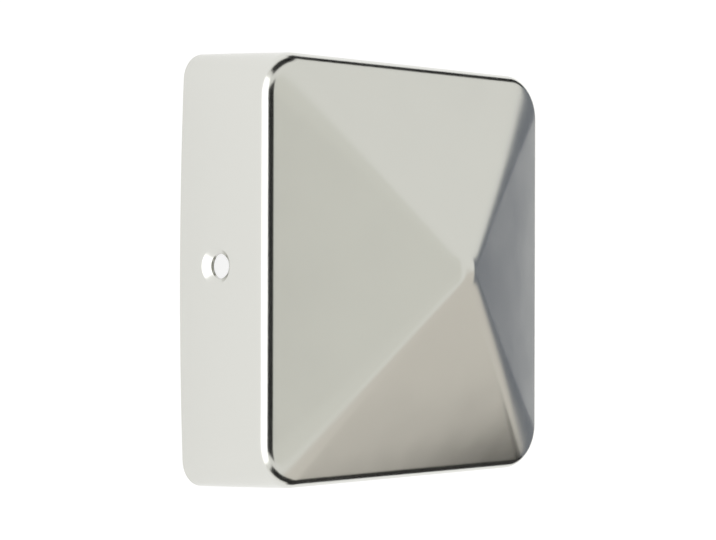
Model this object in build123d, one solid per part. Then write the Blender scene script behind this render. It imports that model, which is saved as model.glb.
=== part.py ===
from build123d import *
import math
import os

# Pyramid cap for a square post, drawn in one piece from bright stainless sheet.
# Sizes are in millimetres and angles in degrees. The rim lies on Z = 0, the
# point is up, and the origin is the middle of the open mouth. The drawn form
# is given by its inside, where the post goes, and the sheet lies outside it.

# Post and sheet
post_width = 90.0
post_clearance = 0.35
sheet = 0.7

# Skirt: four walls that lean out and bulge towards the rim, with a straight fold
skirt_height = 23.55
wall_flare = 1.1
fold_flare = 2.6
rim_bulge = 1.2
rim_corner_radius = 5.3
fold_corner_radius = 9.3
fold_radius = 2.6

# Roof: a low pyramid whose hips narrow from the ball corners to a blunt point
roof_pitch = 20.8
hip_steps = 8
point_radius = 7.8
point_flat = 0.4
point_side = 0.2

# Land left beyond each rounded fold, on the stretches that the rounding runs into
land = 0.2

# Screw holes through two opposite walls, each in a shallow pressed dimple
hole_diameter = 5.3
hole_offset = -0.8
dimple_margin = 1.35
dimple_depth = 0.8
dimple_edge_radius = 0.4

# Sizes that follow from the ones above
pitch = math.radians(roof_pitch)
fold_turn = math.radians(90 - roof_pitch)
fold_half = post_width / 2 + post_clearance
rim_half = fold_half + skirt_height * math.tan(math.radians(wall_flare))
point_half = point_radius * math.tan(pitch / 2) + point_flat
point_height = skirt_height + (fold_half - point_half) * math.tan(pitch)
hole_radius = hole_diameter / 2


def fold_height(skin):
    """Height of the sharp fold line at a distance skin outside the inner surface."""
    return skirt_height + skin * (1 / math.cos(pitch) - math.tan(pitch))


def wall_top(skin):
    """Half width and height of the wall where its plain stretch meets the fold."""
    drop = (fold_radius + skin) * math.tan(fold_turn / 2) + land
    half_width = fold_half + skin + drop * math.tan(math.radians(fold_flare))
    return half_width, fold_height(skin) - drop


def rounded_square(half_width, corner_radius, height, bulge=0):
    """Plan section: a square with rounded corners and, with a bulge, swollen sides."""
    corners = [
        (half_width, -half_width),
        (half_width, half_width),
        (-half_width, half_width),
        (-half_width, -half_width),
    ]
    swell = 1 + bulge / half_width
    with BuildSketch(Plane.XY.offset(height)) as section:
        with BuildLine():
            for start, end in zip(corners, corners[1:] + corners[:1]):
                middle = (swell * (start[0] + end[0]) / 2, swell * (start[1] + end[1]) / 2)
                if bulge:
                    ThreePointArc(start, middle, end)
                else:
                    Line(start, end)
        make_face()
        fillet(section.vertices(), corner_radius)
    return section.sketch


def hip_sections(low, high):
    """Sections up the roof; low and high are (half width, corner radius, height).

    Each takes an equal step off the corner radius. The radius falls fast at
    first and ever slower up to the point, so the hips narrow in a soft curve.
    """
    sections = []
    for step in range(hip_steps + 1):
        fall = step / hip_steps
        share = 1 - math.sqrt(1 - fall)
        half_width = low[0] + share * (high[0] - low[0])
        corner_radius = low[1] + fall * (high[1] - low[1])
        height = low[2] + share * (high[2] - low[2])
        sections.append(rounded_square(half_width, corner_radius, height))
    return sections


def layer(centre, foot, edge, top, edge_radius):
    """Level layer of the form with its outer edge rounded.

    Its corners turn about axes at a distance centre from the middle lines. Foot,
    edge and top are (reach outside those axes, height) points of its profile.
    """
    with BuildSketch(Plane.XZ) as profile:
        with BuildLine():
            Polyline((0, foot[1]), foot, edge, top, (0, top[1]), close=True)
        make_face()
        fillet(profile.vertices().sort_by_distance((edge[0], edge[1], 0))[0], edge_radius)
    corner_axis = Pos(centre, centre, 0)
    corner = corner_axis * revolve(profile.sketch, Axis.Z, revolution_arc=90)
    side = corner_axis * extrude(profile.sketch, 2 * centre)
    middle_height = (foot[1] + top[1]) / 2
    solid = Pos(0, 0, middle_height) * Box(2 * centre, 2 * centre, top[1] - foot[1])
    for quarter in range(4):
        solid += Rot(0, 0, 90 * quarter) * (corner + side)
    return solid


def drawn_form(skin):
    """Solid form of the cap at a distance skin outside its inner surface."""
    wall_half, wall_height = wall_top(skin)
    fold_centre = fold_half - fold_corner_radius
    fold_reach = fold_corner_radius + skin
    fold_run = (fold_radius + skin) * math.tan(fold_turn / 2) * math.cos(pitch) + land
    roof_low = (fold_reach - fold_run, fold_height(skin) + fold_run * math.tan(pitch))
    fold_foot = (wall_half - fold_centre, wall_height)
    fold = layer(fold_centre, fold_foot, (fold_reach, fold_height(skin)), roof_low, fold_radius + skin)

    tip_centre = point_side / 2
    tip_reach = point_half - tip_centre + skin * math.tan(pitch / 2)
    tip_height = point_height + skin
    tip_run = (point_radius + skin) * math.tan(pitch / 2) * math.cos(pitch) + land
    roof_high = (tip_reach + tip_run, tip_height - tip_run * math.tan(pitch))
    tip_top = (land, tip_height)
    tip = layer(tip_centre, roof_high, (tip_reach, tip_height), tip_top, point_radius + skin)

    rim = rounded_square(rim_half + skin, rim_corner_radius + skin, 0, rim_bulge)
    top_of_wall = rounded_square(wall_half, fold_foot[0], wall_height)
    wall = loft([rim, top_of_wall], ruled=True)
    hips = hip_sections(
        (fold_centre + roof_low[0], *roof_low),
        (tip_centre + roof_high[0], *roof_high),
    )
    return wall + fold + loft(hips, ruled=True) + tip


def wall_reach(height):
    """Distance from the cap's middle to the outer face of a wall's middle."""
    top_reach, top_height = wall_top(sheet)
    rim_reach = rim_half + sheet + rim_bulge
    return rim_reach + height / top_height * (top_reach - rim_reach)


def turned_about_hole(profile, side):
    """Solid of revolution about a screw hole's axis, half way up the wall.

    The profile is a list of (radius, depth) points. Depth is measured inwards
    from the wall's outer face. Side is -1 for the front wall, 1 for the back.
    """
    hole_height = wall_top(sheet)[1] / 2
    wall_point = (hole_offset, side * wall_reach(hole_height), hole_height)
    hole_plane = Plane(origin=wall_point, x_dir=(1, 0, 0), z_dir=(0, 0, -side))
    with BuildPart() as body:
        with BuildSketch(hole_plane):
            with BuildLine():
                Polyline(*profile, close=True)
            make_face()
        revolve(axis=Axis(wall_point, (0, 1, 0)))
    return body.part


def press_dimple(cap, side):
    """Press a dimple into one wall and punch the screw hole through its floor."""
    slope = dimple_margin / dimple_depth
    cone_sheet = sheet * math.hypot(1, 1 / slope)
    overrun = 2 * sheet
    boss_end = dimple_depth + cone_sheet + sheet / slope
    boss_radius = hole_radius + dimple_margin + (cone_sheet + overrun) * slope
    boss = turned_about_hole(
        [(0, -overrun), (boss_radius, -overrun), (hole_radius - sheet, boss_end), (0, boss_end)],
        side,
    )
    boss = boss & drawn_form(sheet / 2)
    bossed = cap + boss
    inner_ring = new_edges(cap, boss, combined=bossed)
    bossed = fillet(inner_ring, dimple_edge_radius + sheet)

    mouth_radius = hole_radius + dimple_margin + overrun * slope
    punch_end = boss_end + overrun
    punch = turned_about_hole(
        [
            (0, -overrun),
            (mouth_radius, -overrun),
            (hole_radius, dimple_depth),
            (hole_radius, punch_end),
            (0, punch_end),
        ],
        side,
    )
    punched = bossed - punch
    outer_ring = new_edges(bossed, punch, combined=punched).sort_by(SortBy.LENGTH)[-1]
    return fillet(outer_ring, dimple_edge_radius)


def post_cap():
    """The whole cap: drawn shell with a dimpled screw hole front and back."""
    cap = drawn_form(sheet) - drawn_form(0)
    for side in (-1, 1):
        cap = press_dimple(cap, side)
    return cap


os.makedirs("parts", exist_ok=True)
cap = post_cap()
cap.label = "post_cap"
export_step(cap, "parts/post_cap.step")
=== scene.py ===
import math

import bpy
import numpy as np
from mathutils import Matrix, Vector


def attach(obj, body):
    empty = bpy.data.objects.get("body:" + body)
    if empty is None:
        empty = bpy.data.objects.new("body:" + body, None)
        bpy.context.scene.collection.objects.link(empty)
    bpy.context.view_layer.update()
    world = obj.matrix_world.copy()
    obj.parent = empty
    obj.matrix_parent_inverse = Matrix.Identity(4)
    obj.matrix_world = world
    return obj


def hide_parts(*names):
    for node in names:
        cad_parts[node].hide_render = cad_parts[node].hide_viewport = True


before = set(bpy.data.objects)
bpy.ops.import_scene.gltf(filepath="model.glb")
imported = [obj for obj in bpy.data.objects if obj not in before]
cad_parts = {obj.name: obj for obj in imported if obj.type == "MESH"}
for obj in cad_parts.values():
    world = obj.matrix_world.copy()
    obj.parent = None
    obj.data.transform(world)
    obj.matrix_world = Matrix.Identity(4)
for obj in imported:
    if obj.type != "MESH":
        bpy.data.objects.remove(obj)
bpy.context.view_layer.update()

# Sizes of the cap as in the part's source, with lengths in millimetres
SHEET = 0.7
FOLD_HALF = 45.35
SKIRT_HEIGHT = 23.55
WALL_FLARE = math.radians(1.1)
FOLD_FLARE = math.radians(2.6)
RIM_BULGE = 1.2
RIM_CORNER_RADIUS = 5.3
FOLD_CORNER_RADIUS = 9.3
FOLD_RADIUS = 2.6
PITCH = math.radians(20.8)
POINT_RADIUS = 7.8
POINT_FLAT = 0.4
POINT_SIDE = 0.2
LAND = 0.2
HOLE_RADIUS = 2.65
HOLE_OFFSET = -0.8
DIMPLE_MARGIN = 1.35
DIMPLE_DEPTH = 0.8
MM_PER_METRE = 1000

# Sizes that follow from the ones above, worked out as in the part's source
FOLD_TURN = math.pi / 2 - PITCH
RIM_HALF = FOLD_HALF + SKIRT_HEIGHT * math.tan(WALL_FLARE)
POINT_HALF = POINT_RADIUS * math.tan(PITCH / 2) + POINT_FLAT
POINT_HEIGHT = SKIRT_HEIGHT + (FOLD_HALF - POINT_HALF) * math.tan(PITCH)
FOLD_CENTRE = FOLD_HALF - FOLD_CORNER_RADIUS
TIP_CENTRE = POINT_SIDE / 2

# Mesh density round the cap: cells in each corner, across a hole's patch and beside it
CORNER_CELLS = 20
PATCH_CELLS = 16
SIDE_CELLS = 10
CELLS_PER_SIDE = 2 * SIDE_CELLS + PATCH_CELLS

# Mesh density up the cap: rows of the wall below and above a patch, and steps of each bend
WALL_ROWS = 4
RIM_STEPS = 4
FOLD_STEPS = 20
HIP_STEPS = 60
POINT_STEPS = 14

# Lowest row of the wall, reach of a patch from its hole, and about the half length of a side
LOWEST_ROW = 0.15
PATCH_REACH = 6.4
SIDE_HALF = 38.5

# Softening of the profile's kinks, rounding of the cut rim, and the least bulge that is an arc
BLEND = 0.9
EDGE_ROUNDING = 0.1
LEAST_BULGE = 1e-5

# Dimple's edge on each skin: how far it is softened, and half the width of its dense rings
OUTER_EASE = 0.06
INNER_EASE = 0.17
OUTER_EDGE_REACH = 0.14
INNER_EDGE_REACH = 0.34
BISECTIONS = 30

# Rings of a patch: shares of the way from the hole to the dimple's edge, places over that
# edge as shares of its reach, and shares of the way on to the patch's square border
CONE_SHARES = (0.0, 0.12, 0.4, 0.7)
EDGE_SHARES = (-1, -0.6, -0.3, 0, 0.3, 0.6, 1)
BORDER_SHARES = (0.12, 0.3, 0.5, 0.7, 0.86)

# Rounding of a hole's two edges, and how far outside the bore its middle ring lies
BORE_ROUNDING = 0.05
BORE_EASE = 0.015

# Camera, as it was fitted to the outline in the photograph, with its places in metres
CAMERA_YAW = math.radians(47.614)
CAMERA_PITCH = math.radians(-0.252)
CAMERA_ROLL = math.radians(-0.16)
CAMERA_DISTANCE = 0.521511
CAMERA_RIGHT = 0.006107
CAMERA_UP = 0.000225
FOCAL_PIXELS = 2265.677
PHOTO_WIDTH = 716
SENSOR_WIDTH = 36.0


def fold_height(skin):
    """Height of the sharp fold line at a distance skin outside the inner surface."""
    return SKIRT_HEIGHT + skin * (1 / math.cos(PITCH) - math.tan(PITCH))


def wall_top(skin):
    """Half width and height of the wall where its plain stretch meets the fold."""
    drop = (FOLD_RADIUS + skin) * math.tan(FOLD_TURN / 2) + LAND
    return FOLD_HALF + skin + drop * math.tan(FOLD_FLARE), fold_height(skin) - drop


def hole_height():
    """Height of the screw holes, half way up the wall's outer face."""
    return wall_top(SHEET)[1] / 2


def sign_of_turn(first, last):
    """1 where the turn from first to last is anticlockwise, otherwise -1."""
    return 1 if first.x * last.y - first.y * last.x > 0 else -1


def rounded_path(foot, edge, top, radius, steps):
    """Points of a bend between two straight runs, from one tangent point to the other."""
    foot, edge, top = Vector(foot), Vector(edge), Vector(top)
    back, on = (foot - edge).normalized(), (top - edge).normalized()
    half_angle = back.angle(on) / 2
    centre = edge + (back + on).normalized() * (radius / math.sin(half_angle))
    start = edge + back * (radius / math.tan(half_angle))
    end = edge + on * (radius / math.tan(half_angle))
    first = start - centre
    turn = sign_of_turn(first, end - centre) * (math.pi - 2 * half_angle)
    return [
        centre + Matrix.Rotation(turn * step / steps, 2) @ first for step in range(steps + 1)
    ]


def smoothed(values, stations, width):
    """Values along the profile, softened over a width in millimetres."""
    weights = np.exp(-(((stations[:, None] - stations[None, :]) / width) ** 2) / 2)
    weights *= np.gradient(stations)[None, :]
    return (weights @ values) / weights.sum(axis=1)


def wall_rows(skin):
    """Heights of the wall's rings, closer together at the holes; the fold has the top one."""
    top = wall_top(skin)[1]
    patch_foot, patch_top = hole_height() - PATCH_REACH, hole_height() + PATCH_REACH
    return np.concatenate(
        [
            np.linspace(LOWEST_ROW, patch_foot, WALL_ROWS + 1)[:-1],
            np.linspace(patch_foot, patch_top, PATCH_CELLS + 1),
            np.linspace(patch_top, top, WALL_ROWS + 2)[1:-1],
        ]
    )


def profile(skin):
    """Rings of the form from rim to point: arrays of half width, height, corner radius, bulge."""
    wall_half, wall_height = wall_top(skin)
    fold = (FOLD_HALF + skin, fold_height(skin))
    fold_run = (FOLD_RADIUS + skin) * math.tan(FOLD_TURN / 2) * math.cos(PITCH) + LAND
    low = (fold[0] - fold_run, fold[1] + fold_run * math.tan(PITCH))
    tip = (POINT_HALF + skin * math.tan(PITCH / 2), POINT_HEIGHT + skin)
    tip_run = (POINT_RADIUS + skin) * math.tan(PITCH / 2) * math.cos(PITCH) + LAND
    high = (tip[0] + tip_run, tip[1] - tip_run * math.tan(PITCH))
    low_radius, high_radius = low[0] - FOLD_CENTRE, high[0] - TIP_CENTRE
    rim_radius, top_radius = RIM_CORNER_RADIUS + skin, wall_half - FOLD_CENTRE

    rings = []
    for height in wall_rows(skin):
        share = height / wall_height
        half = (1 - share) * (RIM_HALF + skin) + share * wall_half
        radius = (1 - share) * rim_radius + share * top_radius
        rings.append((half, height, radius, (1 - share) * RIM_BULGE))
    wall_end = (wall_half, wall_height)
    for point in rounded_path(wall_end, fold, low, FOLD_RADIUS + skin, FOLD_STEPS):
        rings.append((point.x, point.y, point.x - FOLD_CENTRE, 0))
    for share in np.linspace(0, 1, HIP_STEPS + 1):
        half = low[0] + share * (high[0] - low[0])
        height = low[1] + share * (high[1] - low[1])
        radius = high_radius + (1 - share) ** 2 * (low_radius - high_radius)
        rings.append((half, height, radius, 0))
    for point in rounded_path(high, tip, (0, tip[1]), POINT_RADIUS + skin, POINT_STEPS):
        rings.append((point.x, point.y, point.x - TIP_CENTRE, 0))

    half, height, radius, bulge = np.array(rings).T
    stations = np.concatenate([[0], np.cumsum(np.hypot(np.diff(half), np.diff(height)))])
    near_rim = stations < 3 * BLEND
    radius = np.where(near_rim, radius, smoothed(radius, stations, BLEND))
    radius = np.minimum(radius, half - TIP_CENTRE / 2)
    bulge = np.where(near_rim, bulge, smoothed(bulge, stations, BLEND))
    return half, height, radius, bulge


def bulge_circle(half, bulge):
    """Radius of a bulged side's arc, and the distance of its centre from the cap's middle."""
    circle = (half**2 + bulge**2) / (2 * bulge)
    return circle, half + bulge - circle


def corner_of_ring(half, radius, bulge):
    """Corner centre's distance from the middle lines and the angle that its arc starts at."""
    if bulge < LEAST_BULGE:
        return half - radius, 0.0
    circle, offset = bulge_circle(half, bulge)
    reach = circle - radius
    centre = (offset + math.sqrt(2 * reach**2 - offset**2)) / 2
    return centre, math.atan2(centre, centre - offset)


def side_depth(half, bulge, across):
    """Distance of a side from the cap's middle, at a place or places across it."""
    if bulge < LEAST_BULGE:
        return half + np.zeros_like(across)
    circle, offset = bulge_circle(half, bulge)
    return offset + np.sqrt(circle**2 - across**2)


def side_places(with_patch):
    """Places across a side as shares of its half length, closer together at a hole."""
    if not with_patch:
        return np.linspace(-1, 1, CELLS_PER_SIDE + 1)
    start, end = (HOLE_OFFSET - PATCH_REACH) / SIDE_HALF, (HOLE_OFFSET + PATCH_REACH) / SIDE_HALF
    return np.concatenate(
        [
            np.linspace(-1, start, SIDE_CELLS + 1)[:-1],
            np.linspace(start, end, PATCH_CELLS + 1),
            np.linspace(end, 1, SIDE_CELLS + 1)[1:],
        ]
    )


def ring_points(half, height, radius, bulge):
    """One closed ring, anticlockwise from the left end of the front side."""
    centre, start = corner_of_ring(half, radius, bulge)
    length = centre + radius * math.sin(start)
    angles = np.linspace(start, math.pi / 2 - start, CORNER_CELLS + 1)[1:-1]
    corner = list(zip(centre + radius * np.cos(angles), centre + radius * np.sin(angles)))
    points = []
    for quarter in range(4):
        places = side_places(with_patch=quarter % 2 == 0)
        if quarter == 2:
            places = -places[::-1]
        across = places * length
        facing = (quarter - 1) * math.pi / 2
        for outward, along in list(zip(side_depth(half, bulge, across), across)) + corner:
            x = outward * math.cos(facing) - along * math.sin(facing)
            y = outward * math.sin(facing) + along * math.cos(facing)
            points.append((x, y, height))
    return points


def wall_out(skin, across, height):
    """Distance of the wall's face from the cap's middle, at a place across it and a height."""
    wall_half, wall_height = wall_top(skin)
    share = height / wall_height
    half = (1 - share) * (RIM_HALF + skin) + share * wall_half
    return side_depth(half, (1 - share) * RIM_BULGE, across)


def soft_least(first, second, width):
    """The smaller of two values, with the change from one to the other rounded."""
    mix = max(width - abs(first - second), 0) / width
    return min(first, second) - mix**2 * width / 4


class Builder:
    """Vertices and faces of the sheet, both skins."""

    def __init__(self):
        self.points = []
        self.faces = []

    def add(self, point):
        """Add a vertex and return its number."""
        self.points.append(tuple(float(value) for value in point))
        return len(self.points) - 1

    def join(self, lower, upper, outward, skip=()):
        """A closed strip of quads between two rings of vertices, less the places to skip."""
        count = len(lower)
        for place in range(count):
            if place in skip:
                continue
            after = (place + 1) % count
            quad = [lower[place], lower[after], upper[after], upper[place]]
            self.faces.append(quad if outward else quad[::-1])

    def cover(self, ring, middle, outward):
        """A fan of triangles that closes a ring at a middle vertex."""
        count = len(ring)
        for place in range(count):
            triangle = [ring[place], ring[(place + 1) % count], middle]
            self.faces.append(triangle if outward else triangle[::-1])


def patch_border(rings, first):
    """Vertices round the square gap for a patch, which starts at a place of each ring."""
    last, top_row = first + PATCH_CELLS, WALL_ROWS + PATCH_CELLS
    border = [rings[WALL_ROWS][place] for place in range(first, last)]
    border += [rings[row][last] for row in range(WALL_ROWS, top_row)]
    border += [rings[top_row][place] for place in range(last, first, -1)]
    border += [rings[row][first] for row in range(top_row, WALL_ROWS, -1)]
    return border


def skin_rings(builder, skin, outward):
    """One skin of the sheet without its patches: its lowest ring and the patches' borders."""
    rings = []
    for values in zip(*profile(skin)):
        rings.append([builder.add(point) for point in ring_points(*values)])
    patch_starts = (SIDE_CELLS, SIDE_CELLS + 2 * (CELLS_PER_SIDE + CORNER_CELLS))
    gaps = {start + cell for start in patch_starts for cell in range(PATCH_CELLS)}
    for row in range(len(rings) - 1):
        in_patch = WALL_ROWS <= row < WALL_ROWS + PATCH_CELLS
        builder.join(rings[row], rings[row + 1], outward, gaps if in_patch else ())
    top = builder.points[rings[-1][0]][2]
    builder.cover(rings[-1], builder.add((0, 0, top)), outward)
    return rings[0], [patch_border(rings, start) for start in patch_starts]


def patch_rings(builder, skin, side, border, outward):
    """Fill the square gap round a hole with rings that carry the dimple.

    Returns the ring at the hole, the directions of its vertices from the hole's axis and
    the distance of the dimple's floor from the cap's middle.
    """
    axis_height = hole_height()
    slope = DIMPLE_DEPTH / DIMPLE_MARGIN
    behind = (SHEET - skin) * math.hypot(1, slope)
    floor_out = wall_out(SHEET, HOLE_OFFSET, axis_height) - (DIMPLE_DEPTH + behind)
    ease, edge_reach = (OUTER_EASE, OUTER_EDGE_REACH) if skin else (INNER_EASE, INNER_EDGE_REACH)
    border_points = [builder.points[vertex] for vertex in border]
    directions = [
        Vector((point[0] - HOLE_OFFSET, point[2] - axis_height)).normalized()
        for point in border_points
    ]

    def cone_out(reach):
        return floor_out + (reach - HOLE_RADIUS) * slope

    def mouth_reach(direction):
        near, far = HOLE_RADIUS, PATCH_REACH
        for _ in range(BISECTIONS):
            reach = (near + far) / 2
            place = direction * reach
            wall = wall_out(skin, HOLE_OFFSET + place.x, axis_height + place.y)
            near, far = (reach, far) if cone_out(reach) < wall else (near, reach)
        return reach

    def add_vertex(across, height):
        reach = math.hypot(across - HOLE_OFFSET, height - axis_height)
        out = soft_least(wall_out(skin, across, height), cone_out(reach), ease)
        return builder.add((across, side * out, height))

    mouths = [mouth_reach(direction) for direction in directions]
    start = HOLE_RADIUS + BORE_ROUNDING
    rows = []
    for share in CONE_SHARES:
        rows.append([start + share * (mouth - edge_reach - start) for mouth in mouths])
    for share in EDGE_SHARES:
        rows.append([mouth + share * edge_reach for mouth in mouths])
    rings = []
    for reaches in rows:
        ring = []
        for reach, direction in zip(reaches, directions):
            across = HOLE_OFFSET + direction.x * reach
            ring.append(add_vertex(across, axis_height + direction.y * reach))
        rings.append(ring)
    for share in BORDER_SHARES:
        ring = []
        for reach, direction, point in zip(rows[-1], directions, border_points):
            across = (1 - share) * (HOLE_OFFSET + direction.x * reach) + share * point[0]
            height = (1 - share) * (axis_height + direction.y * reach) + share * point[2]
            ring.append(add_vertex(across, height))
        rings.append(ring)
    rings.append(border)
    for inner, outer in zip(rings, rings[1:]):
        builder.join(outer, inner, outward)
    return rings[0], directions, floor_out


def bore_rings(builder, side, directions, outer_ring, outer_out, inner_ring, inner_out):
    """The punched edge of a hole between both skins, with its two rims a little rounded."""
    places = [
        (BORE_EASE, outer_out),
        (0, outer_out - BORE_ROUNDING),
        (0, (outer_out + inner_out) / 2),
        (0, inner_out + BORE_ROUNDING),
        (BORE_EASE, inner_out),
    ]
    rings = [outer_ring]
    for extra, out in places:
        reach = HOLE_RADIUS + extra
        ring = []
        for direction in directions:
            across = HOLE_OFFSET + direction.x * reach
            ring.append(builder.add((across, side * out, hole_height() + direction.y * reach)))
        rings.append(ring)
    rings.append(inner_ring)
    for ring, following in zip(rings, rings[1:]):
        builder.join(ring, following, True)


def rim_rings(builder, outer_ring, inner_ring):
    """The cut edge of the sheet round the open mouth, with its two corners rounded."""
    angles = np.linspace(0, math.pi / 2, RIM_STEPS + 1)
    rings = [outer_ring]
    for skin, sign, run in ((SHEET, -1, angles), (0, 1, angles[::-1])):
        for angle in run:
            shift = skin + sign * EDGE_ROUNDING * (1 - math.cos(angle))
            height = EDGE_ROUNDING * (1 - math.sin(angle))
            points = ring_points(RIM_HALF + shift, height, RIM_CORNER_RADIUS + shift, RIM_BULGE)
            rings.append([builder.add(point) for point in points])
    rings.append(inner_ring)
    for ring, following in zip(rings, rings[1:]):
        builder.join(following, ring, True)


def cap_mesh():
    """The whole cap as one closed mesh: both skins, rim, dimples and screw holes."""
    builder = Builder()
    outer_foot, outer_borders = skin_rings(builder, SHEET, True)
    inner_foot, inner_borders = skin_rings(builder, 0, False)
    rim_rings(builder, outer_foot, inner_foot)
    for side, outer_border, inner_border in zip((-1, 1), outer_borders, inner_borders):
        outer, directions, outer_out = patch_rings(builder, SHEET, side, outer_border, True)
        inner, _, inner_out = patch_rings(builder, 0, side, inner_border, False)
        bore_rings(builder, side, directions, outer, outer_out, inner, inner_out)
    points = np.array(builder.points) / MM_PER_METRE
    mesh = bpy.data.meshes.new("post_cap_sheet")
    mesh.from_pydata(points.tolist(), [], builder.faces)
    mesh.validate()
    mesh.shade_smooth()
    return mesh


def node_material(name):
    """New node material and its Principled BSDF node."""
    material = bpy.data.materials.new(name)
    material.use_nodes = True
    return material, material.node_tree.nodes["Principled BSDF"]


def add_node(tree, kind, **values):
    """Shader node with its inputs set by name, where a low line stands for a space."""
    node = tree.nodes.new(kind)
    for name, value in values.items():
        node.inputs[name.replace("_", " ")].default_value = value
    return node


def noise(tree, scale, detail, stretch=(1, 1, 1)):
    """Noise over the object, in cells per metre."""
    place = tree.nodes.new("ShaderNodeTexCoord")
    mapping = add_node(tree, "ShaderNodeMapping", Scale=stretch)
    texture = add_node(tree, "ShaderNodeTexNoise", Scale=scale, Detail=detail)
    tree.links.new(place.outputs["Object"], mapping.inputs["Vector"])
    tree.links.new(mapping.outputs["Vector"], texture.inputs["Vector"])
    return texture.outputs["Fac"]


def spread(tree, value, low, high):
    """A noise value mapped to a range."""
    node = add_node(
        tree, "ShaderNodeMapRange", From_Min=0.3, From_Max=0.7, To_Min=low, To_Max=high
    )
    tree.links.new(value, node.inputs["Value"])
    return node.outputs["Result"]


def bright_steel():
    """Polished sheet steel: faint waves from the press, and fine polishing marks."""
    material, shader = node_material("bright_steel")
    tree = material.node_tree
    shader.inputs["Base Color"].default_value = (0.665, 0.665, 0.632, 1)
    shader.inputs["Metallic"].default_value = 1.0
    clouds = noise(tree, scale=60, detail=3)
    roughness = spread(tree, clouds, low=0.17, high=0.21)
    tree.links.new(roughness, shader.inputs["Roughness"])
    waves = add_node(tree, "ShaderNodeBump", Strength=0.05, Distance=0.0004)
    tree.links.new(noise(tree, scale=90, detail=1), waves.inputs["Height"])
    marks = add_node(tree, "ShaderNodeBump", Strength=0.05, Distance=0.00002)
    scratches = noise(tree, scale=2500, detail=3, stretch=(1, 1, 0.1))
    tree.links.new(scratches, marks.inputs["Height"])
    tree.links.new(waves.outputs["Normal"], marks.inputs["Normal"])
    tree.links.new(marks.outputs["Normal"], shader.inputs["Normal"])
    return material


def place_camera():
    """Camera turned about the cap so that the point looks right and the front wall left."""
    looking_down = Matrix(((0, 1, 0), (-1, 0, 0), (0, 0, 1)))
    turn = Matrix.Rotation(CAMERA_YAW, 3, "Y")
    tilt = Matrix.Rotation(CAMERA_PITCH, 3, "X")
    roll = Matrix.Rotation(CAMERA_ROLL, 3, "Z")
    to_camera = roll @ tilt @ turn @ looking_down
    from_camera = to_camera.transposed()
    place = from_camera @ Vector((CAMERA_RIGHT, CAMERA_UP, CAMERA_DISTANCE))
    data = bpy.data.cameras.new("camera")
    data.sensor_width = SENSOR_WIDTH
    data.lens = FOCAL_PIXELS * SENSOR_WIDTH / PHOTO_WIDTH
    camera = bpy.data.objects.new("camera", data)
    camera.matrix_world = Matrix.Translation(place) @ from_camera.to_4x4()
    bpy.context.scene.collection.objects.link(camera)
    bpy.context.scene.camera = camera


def stage_quad(name, corners, material):
    """One flat piece of the studio, which is no part of the cap."""
    mesh = bpy.data.meshes.new(name)
    mesh.from_pydata(corners, [], [(0, 1, 2, 3)])
    mesh.materials.append(material)
    quad = bpy.data.objects.new(name, mesh)
    bpy.context.scene.collection.objects.link(quad)
    return quad


def add_panel(name, centre, along, across, colour, strength):
    """A studio panel that only the steel reflects; along and across are its half sides."""
    centre, along, across = Vector(centre), Vector(along), Vector(across)
    corners = [
        centre - along - across,
        centre + along - across,
        centre + along + across,
        centre - along + across,
    ]
    material, shader = node_material(name)
    shader.inputs["Base Color"].default_value = (0, 0, 0, 1)
    shader.inputs["Specular IOR Level"].default_value = 0
    shader.inputs["Emission Color"].default_value = (*colour, 1)
    shader.inputs["Emission Strength"].default_value = strength
    panel = stage_quad(name, [tuple(corner) for corner in corners], material)
    panel.visible_camera = False
    panel.visible_diffuse = False
    panel.visible_shadow = False


def add_floor():
    """White floor that shows as white to the camera and in the steel, and keeps a soft shadow."""
    size = 3.0
    material, shader = node_material("floor")
    shader.inputs["Base Color"].default_value = (0.3, 0.3, 0.3, 1)
    shader.inputs["Roughness"].default_value = 0.9
    shader.inputs["Specular IOR Level"].default_value = 0
    shader.inputs["Emission Color"].default_value = (1, 1, 1, 1)
    shader.inputs["Emission Strength"].default_value = 0.82
    corners = [(-size, -size, 0), (size, -size, 0), (size, size, 0), (-size, size, 0)]
    stage_quad("floor", corners, material)


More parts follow.
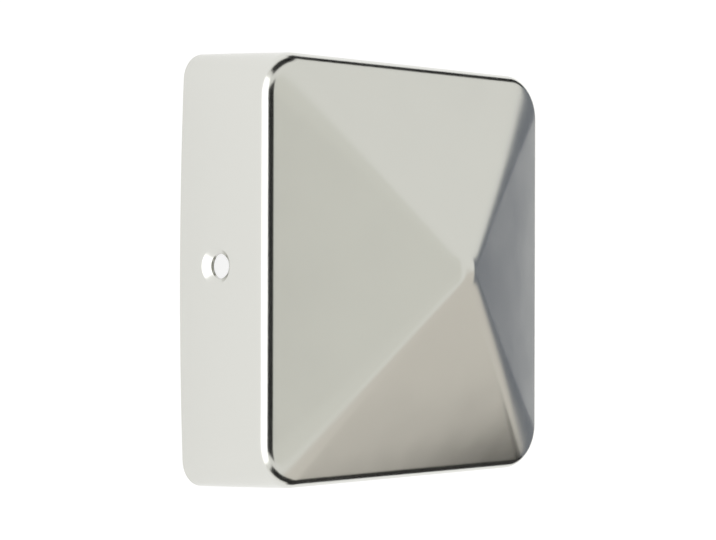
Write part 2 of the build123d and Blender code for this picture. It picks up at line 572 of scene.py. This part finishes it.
def light_world():
    """Plain soft light all round."""
    world = bpy.data.worlds.new("world")
    world.use_nodes = True
    background = world.node_tree.nodes["Background"]
    background.inputs["Color"].default_value = (1.0, 1.0, 0.965, 1)
    background.inputs["Strength"].default_value = 0.93
    bpy.context.scene.world = world


def add_panels():
    """Softbox, cards and flags round the cap, as its reflections in the photograph ask for."""
    white, cream, cool, warm = (1, 1, 1), (1, 1, 0.94), (0.79, 0.86, 1.0), (1.0, 0.955, 0.88)
    dark = 0.015
    add_panel(
        "front_softbox",
        centre=(0, -0.7, 0.29),
        along=(0.8, 0, 0),
        across=(0, 0, 0.4),
        colour=white,
        strength=1.9,
    )
    add_panel(
        "top_flag",
        centre=(0, -0.4, 0.7),
        along=(0.4, 0, 0),
        across=(0, 0.32, 0),
        colour=white,
        strength=dark,
    )
    add_panel(
        "top_card",
        centre=(0, 0.14, 0.72),
        along=(0.36, 0, 0),
        across=(0, 0.23, 0),
        colour=cream,
        strength=0.83,
    )
    add_panel(
        "back_card",
        centre=(0, 0.27, 0.05),
        along=(0.14, 0, 0),
        across=(0, 0, 0.045),
        colour=cool,
        strength=0.225,
    )
    for side, name, half_height in ((-1, "left", 0.043), (1, "right", 0.068)):
        add_panel(
            name + "_flag",
            centre=(0.5 * side, 0.05, 0.26),
            along=(0, 0.3, 0),
            across=(0, 0, 0.16),
            colour=white,
            strength=dark,
        )
        add_panel(
            name + "_low_flag",
            centre=(0.185 * side, 0.165, half_height),
            along=(0.05 * side, -0.11, 0),
            across=(0, 0, half_height),
            colour=white,
            strength=dark,
        )
    add_panel(
        "warm_card",
        centre=(0.5, 0.8, 0.62),
        along=(0.5, -0.4, 0),
        across=(0, 0, 0.52),
        colour=warm,
        strength=0.76,
    )


steel = bright_steel()
cap = bpy.data.objects.new("post_cap_sheet", cap_mesh())
bpy.context.scene.collection.objects.link(cap)
cap.data.materials.append(steel)
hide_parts("post_cap")
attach(cap, "root")

# The solid that the mesh replaces has the same steel
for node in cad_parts.values():
    for slot in node.material_slots:
        slot.material = steel

place_camera()
add_floor()
light_world()
add_panels()
bpy.context.scene.view_settings.view_transform = "Standard"
